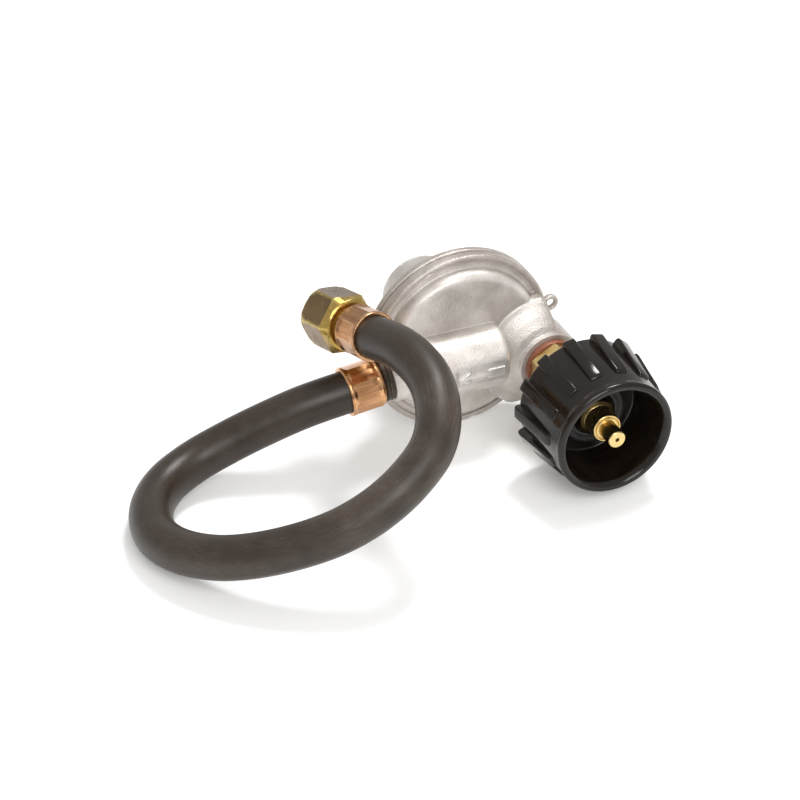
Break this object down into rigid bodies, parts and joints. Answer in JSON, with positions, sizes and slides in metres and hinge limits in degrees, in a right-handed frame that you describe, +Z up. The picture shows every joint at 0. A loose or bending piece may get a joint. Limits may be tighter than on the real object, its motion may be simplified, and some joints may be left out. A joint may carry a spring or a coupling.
{
  "type": "propane regulator hose",
  "caption": "Round diaphragm gas regulator with a ribbed cylinder coupling nut and a short rubber hose ending in a swivel flare nut.",
  "frame": {"origin": "midway over the regulator and its coupling nut, on the surface that the rim stands on (the hose and its fittings left out)", "axes": "+Z up; the regulator's face and the inlet look along -Y; the gas leaves along -X"},
  "size_m": [0.1801, 0.1229, 0.0656],
  "materials": {
    "cast_aluminium": "bead-blasted die casting, satin, slightly warm grey",
    "bonnet_casting": "bead-blasted die casting, satin",
    "black_nylon": "glossy moulded nylon",
    "hose_rubber": "smooth black-brown rubber cover, satin",
    "copper_plate": "copper-plated crimped sleeve",
    "brass": "turned brass",
    "yellow_brass": "forged brass, slightly tarnished",
    "dark_bronze": "dark oxidised collar",
    "spring_steel": "zinc-plated spring wire",
    "steel_plate": "zinc-plated pressed steel",
    "diaphragm_rubber": "fabric-backed rubber sheet",
    "seal_rubber": "moulded seal rubber",
    "inlet_fibre": "reddish-brown translucent washer",
    "bushing_plastic": "heat-sensitive moulded bushing",
    "screw_plastic": "off-white moulded plastic",
    "screen_wire": "fine perforated screen"
  },
  "bodies": {
    "regulator": {"body_casting": "cast_aluminium", "bonnet": "bonnet_casting", "diaphragm": "diaphragm_rubber", "adjusting_spring": "spring_steel", "vent_screen": "screen_wire", "lever_pin": "spring_steel", "orifice": "brass", "inlet_nipple": "brass", "inlet_washer": "inlet_fibre", "flow_spring": "spring_steel", "flow_seat": "brass", "outlet_stem": "dark_bronze", "outlet_ferrule": "copper_plate", "outlet_hose_end": "hose_rubber", "hose": "hose_rubber", "far_hose_end": "hose_rubber", "far_ferrule": "copper_plate", "far_stem": "brass"},
    "diaphragm_post": {"diaphragm_post": "brass", "relief_nut": "brass", "relief_spring": "spring_steel"},
    "diaphragm_plate": {"diaphragm_plate": "steel_plate"},
    "lever": {"lever": "steel_plate"},
    "valve": {"valve_stem": "brass", "valve_disc": "seal_rubber"},
    "spring_seat": {"spring_seat": "steel_plate"},
    "adjusting_screw": {"adjusting_screw": "screw_plastic"},
    "cap_gasket": {"cap_gasket": "seal_rubber"},
    "closing_cap": {"closing_cap": "bonnet_casting"},
    "thermal_bushing": {"thermal_bushing": "bushing_plastic"},
    "coupling_nut": {"coupling_nut": "black_nylon"},
    "flow_piston": {"flow_piston": "brass"},
    "flare_nut": {"flare_nut": "yellow_brass"}
  },
  "joints": [
    {"name": "nut_slide", "type": "slide", "parent": "regulator", "child": "thermal_bushing", "axis": [0, 1, 0], "range_m": [0, 0.012]},
    {"name": "nut_spin", "type": "hinge", "parent": "thermal_bushing", "child": "coupling_nut", "pos_m": [0.0183, -0.03, 0.0242], "axis": [0, 1, 0], "continuous": true},
    {"name": "flow_check", "type": "slide", "parent": "regulator", "child": "flow_piston", "axis": [0, 1, 0], "range_m": [0, 0.003], "stiffness_N_per_m": 20, "springref_m": -0.002, "deforming": ["flow_spring"]},
    {"name": "diaphragm_travel", "type": "slide", "parent": "regulator", "child": "diaphragm_post", "axis": [0, 1, 0], "range_m": [0, 0.0015], "stiffness_N_per_m": 200, "springref_m": -0.002, "deforming": ["diaphragm", "adjusting_spring"]},
    {"name": "relief_lift", "type": "slide", "parent": "diaphragm_post", "child": "diaphragm_plate", "axis": [0, 1, 0], "range_m": [0, 0.001], "stiffness_N_per_m": 200, "springref_m": -0.001, "deforming": ["relief_spring"]},
    {"name": "lever_swing", "type": "hinge", "parent": "regulator", "child": "lever", "pos_m": [-0.0237, 0.0139, 0.031], "axis": [0, 0, 1], "range_deg": [0, 6.5]},
    {"name": "valve_slide", "type": "slide", "parent": "regulator", "child": "valve", "axis": [1, 0, 0], "range_m": [0, 0.00045]},
    {"name": "seat_slide", "type": "slide", "parent": "regulator", "child": "spring_seat", "axis": [0, 1, 0], "range_m": [-0.00078, 0.00078]},
    {"name": "screw_turn", "type": "hinge", "parent": "spring_seat", "child": "adjusting_screw", "pos_m": [-0.0097, 0.0414, 0.0328], "axis": [0, 1, 0], "range_deg": [-180, 180]},
    {"name": "cap_lift", "type": "slide", "parent": "regulator", "child": "cap_gasket", "axis": [0, 1, 0], "range_m": [0, 0.005]},
    {"name": "cap_turn", "type": "hinge", "parent": "cap_gasket", "child": "closing_cap", "pos_m": [-0.0097, 0.0474, 0.0328], "axis": [0, 1, 0], "range_deg": [0, 1080]},
    {"name": "flare_nut_spin", "type": "hinge", "parent": "regulator", "child": "flare_nut", "pos_m": [-0.05288, 0.02035, 0.04817], "axis": [-0.1692, 0.9596, -0.225], "continuous": true}
  ],
  "couplings": [
    {"joint": "lever_swing", "follows": "diaphragm_travel", "rad_per_m": 71.429},
    {"joint": "valve_slide", "follows": "diaphragm_travel", "ratio": 0.28571},
    {"joint": "seat_slide", "follows": "screw_turn", "m_per_rad": 0.00015915},
    {"joint": "cap_lift", "follows": "cap_turn", "m_per_rad": 0.00023873}
  ]
}
